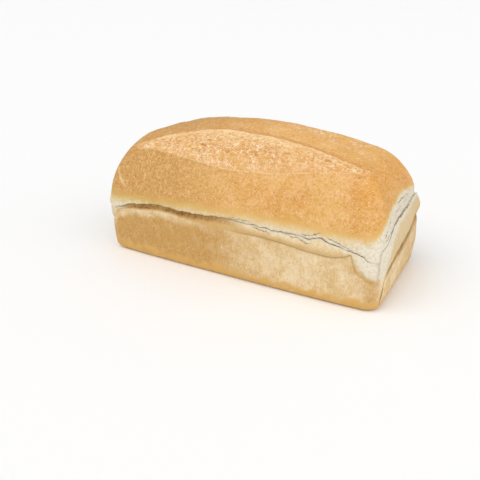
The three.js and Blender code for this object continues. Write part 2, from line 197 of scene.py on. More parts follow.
# How far the wall below stands out at its middle
WALL_SWELL = [
    (0.0, 0), (1.6, 0), (1.74, 0), (1.88, -0.2), (1.98, -1.3), (2.1, -0.5), (2.6, 0.6),
    (3.1, 1.3), (3.4, 1.2), (3.8, 0.5), (4.2, 0), (5.3, 0.4), (6.0, 1.2), (6.8, 1.0),
    (7.5, 0),
]
# How far the crust's lower edge stands out over the crack, and less than nothing where it
# is drawn in
LIP_ROLL = [
    (0.0, 1.6), (0.2, 1.4), (0.6, 1.0), (0.95, 0.8), (1.5, 0), (2.1, -0.8), (2.5, -1.8),
    (3.0, -2.2), (3.4, -1.2), (3.8, 0), (4.2, 1.2), (4.8, 1.2), (5.5, 0.2), (6.5, -0.8),
    (7.2, 0.4), (7.7, 1.6),
]
# Height where the crust has browned to gold
GOLD_HEIGHT = [
    (0.0, 53), (0.1, 53.6), (0.25, 54.6), (0.4, 56), (0.6, 57.8), (0.8, 57.8), (1.0, 57.8),
    (1.3, 60), (1.5, 64), (1.65, 68.5), (1.97, 73.6), (2.2, 76), (2.45, 78.6), (2.7, 77.6),
    (3.0, 75), (3.3, 72), (3.6, 65), (4.0, 60), (4.5, 62), (4.9, 60), (5.4, 60), (5.9, 70),
    (6.3, 77), (6.7, 76), (7.1, 65), (7.5, 55),
]
# How wide the change from flour to gold is
GOLD_FADE = [
    (0.0, 2.6), (0.3, 2.6), (0.5, 2.2), (1.0, 1.9), (1.4, 1.8), (1.7, 1.1), (2.2, 0.9),
    (2.9, 1), (3.6, 3), (4.5, 4), (5.3, 3), (6.0, 1.4), (6.8, 1.4), (7.5, 3),
]
# How far below the crack the dough stayed pale and floury
FLOUR_REACH = [
    (0.0, 8), (0.05, 4), (0.1, 0.5), (0.35, 0.5), (0.5, 2), (0.7, 3.2), (0.9, 3.2),
    (0.96, 5), (1.0, 12), (1.3, 14), (1.45, 16), (1.6, 24), (1.75, 28), (1.9, 18),
    (2.05, 11), (2.2, 7), (2.5, 4), (3.0, 3), (3.5, 4), (4.0, 3), (4.5, 4), (5.0, 3),
    (5.5, 9), (6.0, 5), (6.8, 3.5), (7.4, 8), (7.8, 8),
]
# How brown the ledge's underside and the wall under it are: baked brown with painted shade
BROWNING_AND_SHADE = [
    (0.0, 0.2), (0.3, 0.5), (0.45, 0.9), (0.65, 0.7), (0.85, 0.6), (0.93, 0.5),
    (0.97, 0.35), (1.2, 0.3), (1.45, 0.15), (1.65, 0), (1.9, 0.4), (2.3, 0.6), (3.1, 0.6),
    (3.6, 0.5), (4.3, 0.7), (4.8, 0.7), (5.3, 0.4), (5.9, 0.8), (6.6, 0.9), (7.2, 0.4),
]
# How far down the wall the valley under the ledge is painted dark: baked brown with painted shade
VALLEY_DROP = [
    (0.0, 2), (1.6, 4), (1.72, 8), (1.77, 8), (1.81, 9.5), (1.86, 10.5), (1.92, 11),
    (1.97, 11), (2.05, 10), (2.3, 10.5), (2.5, 12), (2.9, 11), (3.3, 8), (4.0, 3), (5.0, 3),
    (5.8, 6), (6.5, 9), (7.1, 6), (7.6, 2.4),
]
# How deeply the tin wall is baked; its darkest part, at the left of the front, is partly painted
# shadow
WALL_BAKE_AND_SHADOW = [
    (0.0, 1), (0.15, 1), (0.3, 1), (0.43, 0.95), (0.52, 0.5), (0.62, 0.2), (0.85, 0),
    (0.95, 0.15), (1.1, 0.55), (1.4, 0.65), (1.7, 0.1), (2.4, 0.1), (2.9, 0.4), (3.3, 0.5),
    (4.0, 0.3), (4.5, 0.6), (5.0, 0.3), (5.6, 0.5), (6.5, 0.2), (7.0, 0.4), (7.6, 0.8),
]
# How open the crack is
CRACK_OPEN = [
    (0.0, 0.6), (0.06, 0.5), (0.12, 0.9), (0.3, 0.9), (0.45, 0.5), (0.78, 0.5), (0.95, 0.6),
    (1.06, 0.5), (1.16, 0.25), (1.24, 0.02), (1.48, 0.02), (1.53, 0.4), (1.8, 0.4),
    (2.05, 0.7), (2.4, 0.8), (2.8, 0.5), (3.4, 0.4), (4.1, 0.8), (4.6, 1.1), (5.2, 0.5),
    (6.0, 1), (6.6, 1.1), (7.3, 0.4), (7.8, 0.5),
]
# Two rows of hair cracks beside the long one: from place, to place, height over the long
# crack at each end
HAIR_CRACKS = [
    [
        (0.5, 0.6, 1.2, 2.6), (0.775, 0.86, 1.6, 3.8), (0.87, 0.94, 3.6, 1.0),
        (1.58, 2.12, 7.5, 9.5), (2.2, 2.5, 3.6, 6.0), (2.55, 2.95, 3.0, 6.5),
        (4.2, 4.36, 1.2, 3.0), (4.75, 4.88, 2.4, 1.0), (6.1, 6.5, 3.6, 7.0),
        (6.6, 6.9, 5.0, 3.0),
    ],
    [
        (0.6, 0.68, -1.2, -2.8), (0.72, 0.83, -1.0, -3.0), (0.9, 0.97, 2.6, 1.0),
        (1.66, 1.95, 3.5, 2.5), (2.3, 2.75, 9.5, 8.5),
        (4.52, 4.66, -1.4, -3.2), (6.55, 6.8, -1.5, -4.0),
    ],
]
# The two edges of the split, as degrees up the dome's own profile. They cross the front
# from its left corner to the right end, and elsewhere the pair only spaces the facets.
SPLIT_NEAR = [
    (0.02, 48), (0.12, 46.6), (0.3, 41.6), (0.5, 38), (0.7, 41.4), (0.85, 48), (0.95, 54.2),
    (1.05, 57.2), (1.5, 57.2), (1.86, 56), (2.15, 52.4), (2.7, 48), (3.5, 46), (6.5, 46),
    (7.5, 47),
]
SPLIT_FAR = [
    (0.02, 56), (0.08, 62), (0.15, 66.6), (0.25, 70.4), (0.4, 72.3), (0.6, 70), (0.8, 67.6),
    (0.95, 65.8), (1.16, 63.6), (1.53, 61.1), (1.86, 58.9), (2.15, 55), (2.7, 62),
    (3.5, 68), (6.5, 68), (7.5, 53),
]
# How far the split has opened
SPLIT_STRENGTH = [
    (0.0, 0.5), (0.06, 0.65), (0.15, 0.95), (0.85, 1), (1.1, 0.85), (1.6, 0.6), (2.0, 0.4),
    (2.18, 0.1), (2.3, 0), (7.0, 0), (7.7, 0.25),
]
# Short wrinkles in the crust: their points in mm, half width, depth and how much paler
WRINKLES = [
    ([(-117, -48, 77), (-111, -53, 70), (-105, -56, 64)], 1.5, 0.5, 0.9),
    ([(-111, -48, 83), (-107, -52, 76), (-104, -54, 70)], 1.0, 0.3, 0.6),
    ([(-97, -50, 82), (-95, -53, 74)], 0.8, 0.2, 0.5),
    ([(-71, -43.5, 93), (-58, -48, 86), (-47, -51, 79), (-39, -54, 68)], 0.9, 0.3, 0.5),
    ([(98.5, -36, 98.5), (102.5, -33.5, 99)], 0.9, 0.8, -0.9),
    ([(105, -19, 100), (111, -8, 95.5), (117, 5, 88), (119, 28, 84)], 0.9, 0.5, -0.5),
    ([(30, -53, 73), (46, -52.5, 76)], 1.0, 0.3, -0.3),
    ([(60, -51, 79), (66, -53, 71)], 0.9, 0.3, -0.3),
    ([(40, 50, 80), (62, 46, 90), (80, 41, 94)], 1.0, 0.4, -0.4),
    ([(-60, 48, 84), (-48, 51, 74)], 0.9, 0.3, 0.5),
]


# ---------------------------------------------------------------- small tools

def along(line, places):
    """Value of a line at places round the loaf: a smooth curve through its pairs."""
    at = np.array([pair[0] for pair in line], float)
    value = np.array([pair[1] for pair in line], float)
    at = np.concatenate([at[-2:] - FULL_TURN, at, at[:3] + FULL_TURN])
    value = np.concatenate([value[-2:], value, value[:3]])
    k = np.searchsorted(at, places, side="right") - 1
    span = at[k + 1] - at[k]
    t = (places - at[k]) / span
    leave = (value[k + 1] - value[k - 1]) / (at[k + 1] - at[k - 1]) * span
    arrive = (value[k + 2] - value[k]) / (at[k + 2] - at[k]) * span
    ease = t * t * (3 - 2 * t)
    return (
        value[k] + (value[k + 1] - value[k]) * ease
        + leave * t * (1 - t) ** 2 - arrive * t * t * (1 - t)
    )


def lerp(a, b, t):
    return a + (b - a) * t


def smooth(value, start, end):
    """0 at start, 1 at end, an easy slope between and level beyond, either way round."""
    t = np.clip((value - start) / (end - start), 0, 1)
    return t * t * (3 - 2 * t)


def bell(value, middle, width):
    """1 at the middle, and fading on both sides over about that width."""
    return np.exp(-(((value - middle) / width) ** 2))


def rough(points, size, octaves=3, shift=0.0, stretch=(1, 1, 1)):
    """Fractal noise about 0 at points in mm, with features of about that size. Each shift
    gives a different noise."""
    falloff, finer = 1.0, 2.0
    scaled = np.asarray(points) / (size * np.array(stretch)) + shift
    return np.array([noise.fractal(Vector(p), falloff, finer, octaves) for p in scaled])


# ---------------------------------------------------------------- shape of the loaf

def walk_round():
    """Places round the loaf, each with its share of the half length and half width, and
    the direction its side faces, in degrees."""
    sides = [
        (LONG_STEPS, lambda t: (2 * t - 1, -1, -90)),
        (CORNER_STEPS, lambda t: (1, -1, -90 + 90 * t)),
        (SHORT_STEPS, lambda t: (1, 2 * t - 1, 0)),
        (CORNER_STEPS, lambda t: (1, 1, 90 * t)),
        (LONG_STEPS, lambda t: (1 - 2 * t, 1, 90)),
        (CORNER_STEPS, lambda t: (-1, 1, 90 + 90 * t)),
        (SHORT_STEPS, lambda t: (-1, 1 - 2 * t, 180)),
        (CORNER_STEPS, lambda t: (-1, -1, 180 + 90 * t)),
    ]
    found = []
    for number, (steps, side) in enumerate(sides):
        for k in range(steps):
            found.append((number + k / steps, *side(k / steps)))
    return np.array(found, float)


def crest(share):
    """Height of the dome's crest, a share of the way from its middle to its end."""
    return HEIGHT - END_DROP * np.abs(share) ** RIDGE_POWER


place, share_x, share_y, facing = walk_round().T
out = np.stack([np.cos(np.radians(facing)), np.sin(np.radians(facing))], 1)
out3 = np.column_stack([out, np.zeros(len(place))])
ridge_step = np.rint(LONG_STEPS * (share_x + 1) / 2).astype(int)
ridge_top = crest(share_x)


def outline(half_length, half_width, radius):
    """Rounded rectangle, with one point for each station."""
    x = (half_length - radius) * share_x + radius * out[:, 0]
    y = (half_width - radius) * share_y + radius * out[:, 1]
    return np.stack([x, y], 1)


def bow(z):
    """The long sides bulge a little between their corners, low down."""
    return FRONT_BOW * (1 - share_x ** 4) * np.abs(out[:, 1]) * (1 - smooth(z, *BOW_FADE))


def wall(z):
    """Points of the tin wall at heights z, one for each station, and their normals."""
    rise = z / SHOULDER
    inset = TIN_TAPER * (1 - rise)
    radius = lerp(WALL_CORNER, DOME_CORNER, rise)
    flat = outline(HALF_LENGTH - inset, HALF_WIDTH - inset, radius)
    return np.column_stack([flat + out * bow(z)[:, None], z]), out3


def dome(degrees):
    """Points of the dome at those degrees of its profile, and their normals."""
    rim = outline(HALF_LENGTH, HALF_WIDTH, DOME_CORNER)
    ridge = np.stack([RIDGE_HALF * share_x, np.zeros(len(share_x))], 1)
    squareness = lerp(SIDE_SQUARENESS, END_SQUARENESS, np.abs(out[:, 0]))
    angle = np.radians(degrees)
    inward = 1 - np.cos(angle) ** (2 / squareness)
    z = SHOULDER + (ridge_top - SHOULDER) * np.sin(angle)
    flat = rim + (ridge - rim) * inward[:, None] + out * bow(z)[:, None]
    across = rim - ridge
    width = np.linalg.norm(across, axis=1)
    level = across / width[:, None] * (np.cos(angle) / width)[:, None]
    normal = np.column_stack([level, np.sin(angle) / (ridge_top - SHOULDER)])
    return np.column_stack([flat, z]), normal / np.linalg.norm(normal, axis=1)[:, None]


def degrees_at(z):
    """Degrees of the dome's profile at heights z, and 0 below the shoulder."""
    return np.degrees(np.arcsin(np.clip((z - SHOULDER) / (ridge_top - SHOULDER), 0, 1)))


def at_height(z):
    """Points of the wall or the dome at heights z, and their normals."""
    on_wall = (z < SHOULDER)[:, None]
    pairs = zip(wall(z), dome(degrees_at(z)))
    return [np.where(on_wall, of_wall, of_dome) for of_wall, of_dome in pairs]


def unevenness(points):
    """Slow unevenness of a hand-shaped loaf."""
    x, y, z = points.T
    broad, short = BROAD_WAVE, SHORT_WAVE
    return (
        broad["height"] * np.sin(x / broad["x"] + 0.6) * np.cos(y / broad["y"] + 1.1)
        + short["height"] * np.sin(x / short["x"] + z / short["z"]) * np.sin(y / short["y"] + 0.4)
    )


# Every line's value at the stations. Those that show as edges also wander a little.
rim_line = np.column_stack([outline(HALF_LENGTH, HALF_WIDTH, DOME_CORNER), np.zeros(len(place))])
calm_corner = smooth(place, 1.02, 1.15) * (1 - smooth(place, 1.6, 1.8))
crack = (
    along(CRACK_HEIGHT, place)
    + 0.5 * rough(rim_line, 14.0, 4, 3.1) * (1 - calm_corner)
    + 0.9 * rough(rim_line, 4.6, 3, 9.7) * (1 - calm_corner)
)
groove = along(GROOVE_HEIGHT, place) + 0.3 * rough(rim_line, 20.0, 2, 5.3)
groove = np.minimum(groove, crack - LOWEST_LEDGE)
bulge = along(LEDGE_BULGE, place)
peak = along(LEDGE_PEAK, place)
recess = np.maximum(along(LEDGE_RECESS, place), 0)
depth = along(GROOVE_DEPTH, place)
reach = along(GROOVE_REACH, place)
swell = along(WALL_SWELL, place)
lip = along(LIP_ROLL, place)
near = along(SPLIT_NEAR, place) + 0.5 * rough(rim_line, 12.0, 3, 2.2)
far = along(SPLIT_FAR, place) + 0.5 * rough(rim_line, 9.0, 3, 7.9)
split = np.clip(along(SPLIT_STRENGTH, place), 0, 1)
gape = along(CRACK_OPEN, place) * (1 + 0.9 * rough(rim_line, 6.0, 3, 12.4))
gape = np.clip(gape, 0.04, 2.0)

FLOOR, WALL, LEDGE, CRACK, CRUST, SPLIT = range(6)
OFF_SPLIT = -1.0
rings = []


def add(surface, push, band, split_share=OFF_SPLIT):
    """One ring of the surface: its smooth points, how far they are pushed out, which band
    of the loaf it belongs to and how far across the split it lies."""
    points, normals = surface
    rings.append((points, normals, np.broadcast_to(push, place.shape), band, split_share))


def wall_push(z):
    """How far the wall stands out at heights z, and less than nothing where it is drawn in."""
    hollow = depth * bell(groove - z, 0, reach)
    top_edge = EDGE_SWELL * recess * bell(groove - z, EDGE_DROP, EDGE_SPREAD)
    return swell * bell(z, SWELL_HEIGHT, SWELL_SPREAD) + top_edge - hollow


# rounding at the floor
for degrees in np.linspace(0, LAST_TURN, FLOOR_RINGS):
    turn = math.radians(degrees)
    inset = TIN_TAPER + FLOOR_ROUNDING * (1 - math.sin(turn))
    z = np.full(len(place), FLOOR_ROUNDING * (1 - math.cos(turn)))
    flat = outline(HALF_LENGTH - inset, HALF_WIDTH - inset, FLOOR_CORNER)
    rounded = np.column_stack([flat + out * bow(z)[:, None], z])
    add((rounded, out3), wall_push(z) * math.sin(turn), FLOOR)

# tin wall
for share in np.linspace(0, 1, WALL_RINGS + 1)[:-1]:
    z = lerp(FLOOR_ROUNDING, groove, share ** WALL_SPACING)
    add(at_height(z), wall_push(z), WALL)
add(at_height(groove), wall_push(groove), LEDGE)

# ledge, a rounded bulge or a sunk band
half = CRACK_HALF * gape
ledge_height = crack - half - groove
for share in np.linspace(*LEDGE_SPAN, LEDGE_RINGS):
    rounded = np.sin(math.pi * share ** (math.log(0.5) / np.log(peak)))
    sunk_in = recess * min(1.0, share / SUNK_SHARE)
    hollow = depth * max(0.0, 1 - share / HOLLOW_SHARE)
    add(at_height(groove + ledge_height * share), bulge * rounded - sunk_in - hollow, LEDGE)

# crack under the crust's rolled edge
bend, bend_depth = CRACK_BEND * half, BEND_DEPTH * CRACK_DEPTH * gape
add(at_height(crack - half), LEDGE_RIM * bulge - recess, CRACK)
add(at_height(crack - bend), -bend_depth - BEND_SINK * recess, CRACK)
add(at_height(crack), -CRACK_DEPTH * gape - CRACK_SINK * recess, CRACK)
add(at_height(crack + bend), -bend_depth, CRACK)
add(at_height(crack + half), LIP_START * lip, CRUST)
for share in LIP_SHARES:
    roll = math.sin(math.pi * lerp(ROLL_START, 1.0, share)) ** ROLL_POWER
    add(at_height(crack + half + LIP_HEIGHT * share), lip * lerp(LIP_END, 1.0, roll), CRUST)

# crust up to the split, the split, and on to the ridge
start = degrees_at(crack + half + LIP_HEIGHT)
low_edge = near - SPLIT_EDGE
high_edge = far + SPLIT_EDGE
for share in np.linspace(0, 1, CRUST_RINGS + 1)[1:]:
    add(dome(lerp(start, low_edge, share)), LIP_END * lip * (1 - share) ** 3, CRUST)
for share, curl in NEAR_CURL:
    on_edge = 0.0 if share == 1 else OFF_SPLIT
    add(dome(lerp(low_edge, near, share)), SPLIT_LIP * curl * split, CRUST, on_edge)
inner_low = near + SPLIT_INSET * SPLIT_EDGE
inner_high = far - SPLIT_INSET * SPLIT_EDGE
for share in np.linspace(0, 1, SPLIT_RINGS):
    rise = SPLIT_SWELL * math.sin(math.pi * share) ** SWELL_POWER + FAR_RISE * share ** 2
    add(dome(lerp(inner_low, inner_high, share)), split * SPLIT_RECESS * (rise - 1), SPLIT, share)
for share, curl in FAR_CURL:
    add(dome(lerp(far, high_edge, share)), SPLIT_LIP * curl * split, CRUST, 1.0)
for share in np.linspace(0, 1, CREST_RINGS + 2)[1:-1]:
    curl = OUTER_CURL * SPLIT_LIP * split * (1 - share) ** 3
    add(dome(lerp(high_edge, 90.0, share)), curl, CRUST)

smooth_points, normals, pushes, bands, split_shares = map(np.array, zip(*rings))
ring_count, count = pushes.shape

# the ridge closes the dome and a line below it closes the flat base
steps = np.arange(LONG_STEPS + 1)
ridge_share = 2 * steps / LONG_STEPS - 1
ridge_points = np.column_stack([RIDGE_HALF * ridge_share, 0 * ridge_share, crest(ridge_share)])
base_points = ridge_points * [1, 0, 0]

base = np.concatenate([smooth_points.reshape(-1, 3), ridge_points, base_points])
direction = np.concatenate(
    [normals.reshape(-1, 3), np.tile([0, 0, 1.0], (len(steps), 1)), np.zeros((len(steps), 3))]
)
push = np.concatenate([pushes.ravel(), np.zeros(2 * len(steps))])


def spread(per_ring, at_ridge, at_base):
    """A value for every vertex from one for each ring vertex, the ridge and the base."""
    whole = np.broadcast_to(per_ring, (ring_count, count)).ravel()
    return np.concatenate(
        [whole, np.full(len(steps), at_ridge, float), np.full(len(steps), at_base, float)]
    )


height = base[:, 2]
band = spread(bands[:, None], CRUST, FLOOR)
over_crack = height - spread(crack, 0.0, 60.0)
over_groove = height - spread(groove, 0.0, 60.0)
over_gold = height - spread(along(GOLD_HEIGHT, place), 0.0, 90.0)
split_share = spread(split_shares[:, None], OFF_SPLIT, OFF_SPLIT)
split_strength = spread(split, 0, 0)
sunk = np.clip(spread(recess, 0, 0) / FULL_RECESS, 0, 1)
here = spread(place, 4.5, 4.5)

# ---------------------------------------------------------------- fine relief, mm

# each term is its height times a noise, whose first number is the size of its features
above_floor = smooth(height, 1.0, 9.0)
crust_part = np.isin(band, [CRUST, SPLIT]).astype(float)
inside_split = (band == SPLIT) * split_strength
floury_part = smooth(over_groove, 0.0, 3.0) * (1 - smooth(over_gold, -1.0, 5.0))
wall_part = 1 - smooth(over_groove, -4.0, 0.0)

relief = unevenness(base) * above_floor
relief += 0.45 * rough(base, 26.0, 3, 1.7) * above_floor
relief += 0.14 * rough(base, 5.0, 3, 4.4) * crust_part
relief += 0.30 * rough(base, 4.5, 3, 6.1, (1.0, 1.0, 0.75)) * floury_part
crumple = 1 - 2 * np.abs(rough(base, 6.5, 3, 8.8, (1.0, 1.0, 1.7)))
relief += 0.32 * crumple * wall_part * above_floor
grains = rough(base, 2.6, 3, 2.9)
relief += (0.5 * grains + 0.5 * rough(base, 9.0, 2, 3.3)) * inside_split
torn_edge = sunk * (over_crack < 0) * smooth(over_groove, 0.0, 1.5)
relief += 0.5 * rough(base, 3.0, 3, 7.3) * torn_edge

# a seam runs down the right front corner under the crack
seam = bell(here, SEAM_PLACE, SEAM_WIDTH) * smooth(height, *SEAM_FOOT)
seam *= 1 - smooth(over_crack, -1.5, 0.5)
relief -= SEAM_DEPTH * seam

# hair cracks: how far every point is over its row's line, in mm, and how open that line is
hair_lines = []
for hair_row in HAIR_CRACKS:
    gap, strength = np.full(len(base), 50.0), np.zeros(len(base))
    for first, final, from_height, to_height in hair_row:
        t = (here - first) / (final - first)
        beside = (t > -0.2) & (t < 1.2)
        gap = np.where(beside, over_crack - lerp(from_height, to_height, t), gap)
        strength += smooth(t, 0.0, 0.2) * (1 - smooth(t, 0.75, 1.0))
    hair_lines.append((gap, strength))
    relief -= HAIR_DEPTH * strength * bell(gap, 0, HAIR_WIDTH) * (1 - inside_split)

# wrinkles in the crust
wrinkle = np.zeros(len(base))
for bends, half_width, sink, paler in WRINKLES:
    bends = np.array(bends, float)
    distance = np.full(len(base), np.inf)
    for first, final in zip(bends[:-1], bends[1:]):
        along_it = final - first
        t = np.clip((base - first) @ along_it / (along_it @ along_it), 0, 1)
        gap_to_it = np.linalg.norm(base - first - t[:, None] * along_it, axis=1)
        distance = np.minimum(distance, gap_to_it)
    close = bell(distance, 0, half_width) * crust_part
    relief -= sink * close
    wrinkle += paler * close

points = base + direction * (push + relief)[:, None]

# ---------------------------------------------------------------- closed mesh
ring = np.arange(count)
next_ring = (ring + 1) % count
quads = []
for lower in range(0, (ring_count - 1) * count, count):
    upper = lower + count
    quads.append(np.stack([lower + ring, lower + next_ring, upper + next_ring, upper + ring], 1))
ridge_start = ring_count * count
base_start = ridge_start + len(steps)
last = (ring_count - 1) * count
own, following = ridge_step, ridge_step[next_ring]
quads.append(
    np.stack([last + ring, last + next_ring, ridge_start + following, ridge_start + own], 1)
)
quads.append(np.stack([base_start + own, base_start + following, next_ring, ring], 1))
# where two corners of a quad are one point, it is a triangle
faces = [
    [corner for k, corner in enumerate(quad) if corner != quad[k - 1]]
    for quad in np.concatenate(quads).tolist()
]

mesh = bpy.data.meshes.new("loaf_bread")
mesh.from_pydata((points * MM).tolist(), [], faces)
mesh.update()
mesh.shade_smooth()

loaf = bpy.data.objects.new("loaf_bread", mesh)
bpy.context.scene.collection.objects.link(loaf)

# the middle of its box goes over the middle of the CAD's
cad_low, cad_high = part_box("loaf")
low, high = points.min(0) * MM, points.max(0) * MM
gap_x, gap_y = [(cad_low[k] + cad_high[k]) / 2 - (low[k] + high[k]) / 2 for k in (0, 1)]
mesh.transform(Matrix.Translation((gap_x, gap_y, 0)))

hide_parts("loaf")
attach(loaf, "root")


# ---------------------------------------------------------------- masks for the material

def mask(name, values, low=0.0, high=1.0):
    """A number at every vertex, which the material reads by its name."""
    attribute = mesh.attributes.new(name, "FLOAT", "POINT")
    attribute.data.foreach_set("value", np.clip(values, low, high).astype(np.float32))


def around(line, beyond=0.0):
    """A line's value at every vertex, and the value beyond at the ridge and the base."""
    return spread(along(line, place), beyond, beyond)


def within(value, start, full, fading, end):
    """1 from full to fading, with slopes down to 0 at start and end."""
    return smooth(value, start, full) * (1 - smooth(value, fading, end))


edge_noise = rough(base, 8.0, 4, 11.2)
x, y = base[:, 0], base[:, 1]

# golden crust: how far it has browned, where it is darker towards the left end and where it is
# dusted
gold_depth = (over_gold + 1.3 * edge_noise) / around(GOLD_FADE, 3.0)
mask("gold", 0.5 + 0.25 * gold_depth, -1.0, 3.0)
mask("darker_left", smooth(-x + 8 * edge_noise, *DARKER_LEFT_SPAN))
end_part = smooth(x + 6 * edge_noise, *END_BAKED_SPAN)
mask("end_baked", end_part * smooth(height, *END_BAKED_HEIGHT))
mask("dusted", bell(x, *DUSTED_X) * bell(y, *DUSTED_Y) * crust_part * (1 - inside_split))
mask("wrinkle", wrinkle, -1.0, 1.0)

# split: where it is torn, its middle, how far across it a point lies, its browner right
# part, a thin painted highlight along its near edge and the shade under its far one
share_across = np.clip(split_share, 0, 1)
mask("torn", inside_split * np.clip(1.0 + 0.25 * edge_noise, 0, 1))
mask("torn_middle", np.sin(np.pi * share_across) * split_strength)
mask("torn_share", share_across)
mask("torn_end", bell(x, *BROWNER_SPLIT_X) * (1 - 0.7 * share_across))
mask("lip_highlight", (split_share == 0) * (band == CRUST) * split_strength)
mask("lip_shadow", (split_share > 0.97) * (band == SPLIT) * split_strength)

# pale floury dough round the crack, whitest at the ends, and the brown recess under it
flour_edge = over_crack + around(FLOUR_REACH) + 1.5 * edge_noise
in_recess = sunk * (over_crack < 0.2)
whitest = within(here, *RIGHT_WHITE) + within(here, *LEFT_WHITE)
beside_crack = bell(over_crack, 1.0, 2.6) * (over_crack > -2.5)
mask("floury", smooth(flour_edge, -2.0, 2.0) * smooth(over_groove, -0.5, 2.0) * (1 - in_recess))
mask("whitest", np.maximum(whitest, 0.8 * beside_crack) * (over_gold < 8))
mask("sunk", sunk * smooth(over_groove, -0.8, 0.6) * (over_crack < 0.9))
mask("deep", 1 - smooth(-over_crack + 0.5 * edge_noise, 3.0, 6.0))

# ledge: tan at the right end, baked brown with painted shade underneath, painted shade along
# the crease at its lower edge, and a dark valley, baked and painted shade, where the end's wall
# meets it
faces_end = smooth(np.abs(spread(out[:, 0], 0, 0)), 0.3, 0.7)
mask("end_ledge", faces_end * smooth(here, 1.9, 2.25) * smooth(over_groove, 0.0, 1.0))
up_ledge = over_groove / spread(np.minimum(crack - groove, 9.0), 1.0, 1.0)
underside = (1 - smooth(up_ledge + 0.06 * edge_noise, 0.35, 0.8)) * smooth(over_groove, -0.5, 0.2)
mask("under", underside * around(BROWNING_AND_SHADE) * (1 - sunk))
# painted shade along the ledge's lower edge, weaker at the right corner
corner_fade = 0.6 * smooth(here, 0.95, 1.0) + 0.4 * smooth(here, 1.3, 1.45)
mask("crease", 0.6 * smooth(here, 0.45, 0.6) * (1 - corner_fade))
steep = 1.5 * bell(here, *STEEP_VALLEY)
below_groove = -over_groove / around(VALLEY_DROP, 1.0) + 0.08 * edge_noise
valley = smooth(over_groove - steep, 1.5, 0.5) * (1 - smooth(below_groove, 0.6, 1.0))
has_valley = np.where(place < 3.0, smooth(place, 1.73, 1.77), smooth(reach, 3.4, 4.6))
mask("valley", valley * spread(has_valley, 0, 0))

# tin wall: how deeply it is baked, with a painted highlight on its top edge under the ledge, and
# gold at the floor
rim_highlight = 1 - smooth(-over_groove + 1.5 * edge_noise, 3.0, 9.0)
rim_highlight *= 1 - within(here, *NO_RIM_HIGHLIGHT)
# at the left of the front the deepest bake is partly painted shadow
mask("wall_bake_and_shadow", (around(WALL_BAKE_AND_SHADOW) + 0.25 * edge_noise) * (1 - 0.85 * rim_highlight))
mask("low", 1 - smooth(height + 5.0 * edge_noise, 6.0, 12.0))
mask("seam", seam)

# cracks: how far over each line a point is, in mm, and how open the line is there
mask("over_groove", over_groove, -60.0, 90.0)
mask("over_crack", over_crack, -60.0, 90.0)
mask("open", spread(gape, 0, 0))
for number, (gap, strength) in enumerate(hair_lines, 1):
    mask("hair_gap_%d" % number, gap, -60.0, 60.0)
    mask("hair_%d" % number, strength)


# ---------------------------------------------------------------- materials

class Nodes:
    """Short ways to build a node tree."""

    def __init__(self, material):
        material.use_nodes = True
        self.tree = material.node_tree
        self.tree.nodes.clear()

    def new(self, kind, **settings):
        node = self.tree.nodes.new(kind)
        for key, value in settings.items():
            setattr(node, key, value)
        return node

    def put(self, socket, value):
        if isinstance(value, bpy.types.NodeSocket):
            self.tree.links.new(value, socket)
        else:
            socket.default_value = value

    def attribute(self, name):
        return self.new("ShaderNodeAttribute", attribute_name=name).outputs["Fac"]

    def maths(self, operation, a, b=0.0):
        node = self.new("ShaderNodeMath", operation=operation)
        self.put(node.inputs[0], a)
        self.put(node.inputs[1], b)
        return node.outputs[0]

    def times(self, a, b):
        return self.maths("MULTIPLY", a, b)

    def colour(self, factor, a, b, blend="MIX"):
        node = self.new("ShaderNodeMix", data_type="RGBA", blend_type=blend, clamp_factor=True)
        self.put(node.inputs["Factor"], factor)
        self.put(node.inputs[6], a)
        self.put(node.inputs[7], b)
        return node.outputs[2]

    def range(self, value, low, high, to_low=0.0, to_high=1.0):
        """An easy slope from to_low where the value is low to to_high where it is high."""
        node = self.new("ShaderNodeMapRange", interpolation_type="SMOOTHSTEP")
        self.put(node.inputs["Value"], value)
        self.put(node.inputs["From Min"], low)
        self.put(node.inputs["From Max"], high)
        self.put(node.inputs["To Min"], to_low)
        self.put(node.inputs["To Max"], to_high)
        return node.outputs["Result"]

    def place(self, stretch=(1, 1, 1)):
        """Object coordinates: a stretch below 1 draws features out along that axis."""
        where = self.new("ShaderNodeTexCoord").outputs["Object"]
        mapping = self.new("ShaderNodeMapping")
        mapping.inputs["Scale"].default_value = stretch
        self.tree.links.new(where, mapping.inputs["Vector"])
        return mapping.outputs["Vector"]

    def noise(self, size_mm, detail, roughness, stretch=(1, 1, 1), distortion=0.0):
        node = self.new("ShaderNodeTexNoise")
        self.tree.links.new(self.place(stretch), node.inputs["Vector"])
        node.inputs["Scale"].default_value = 1 / (size_mm * MM)
        node.inputs["Detail"].default_value = detail
        node.inputs["Roughness"].default_value = roughness
        node.inputs["Distortion"].default_value = distortion
        return node.outputs["Fac"]

    def line(self, distance, wander, inside, outside):
        """1 on the line where a distance in mm is 0, and 0 off it."""
        off = self.maths("ADD", self.attribute(distance), wander)
        return self.range(self.maths("ABSOLUTE", off), outside, inside)

    def cells(self, size_mm):
        """A different value from 0 to 1 in each grain of about that size."""
        node = self.new("ShaderNodeTexVoronoi", feature="F1")
        self.tree.links.new(self.place(), node.inputs["Vector"])
        node.inputs["Scale"].default_value = 1 / (size_mm * MM)
        channels = self.new("ShaderNodeSeparateColor")
        self.tree.links.new(node.outputs["Color"], channels.inputs["Color"])
        return channels.outputs[0]


def linear(red, green, blue):
    """A colour given as it looks on a screen, 0 to 255, in the renderer's linear values."""
    shares = [value / 255 for value in (red, green, blue)]
    return (*[c / 12.92 if c <= 0.04045 else ((c + 0.055) / 1.055) ** 2.4 for c in shares], 1.0)


# Colours, by the part of the loaf
# - tin wall
WALL_TAN = linear(221, 190, 138)
WALL_CREAM = linear(236, 213, 173)
WALL_BAKED_AND_SHADOWED = linear(200, 155, 88)
# painted highlight on raised crumples of the wall
WALL_RAISED_HIGHLIGHT = linear(244, 224, 186)
FOOT_GOLD = linear(216, 172, 98)
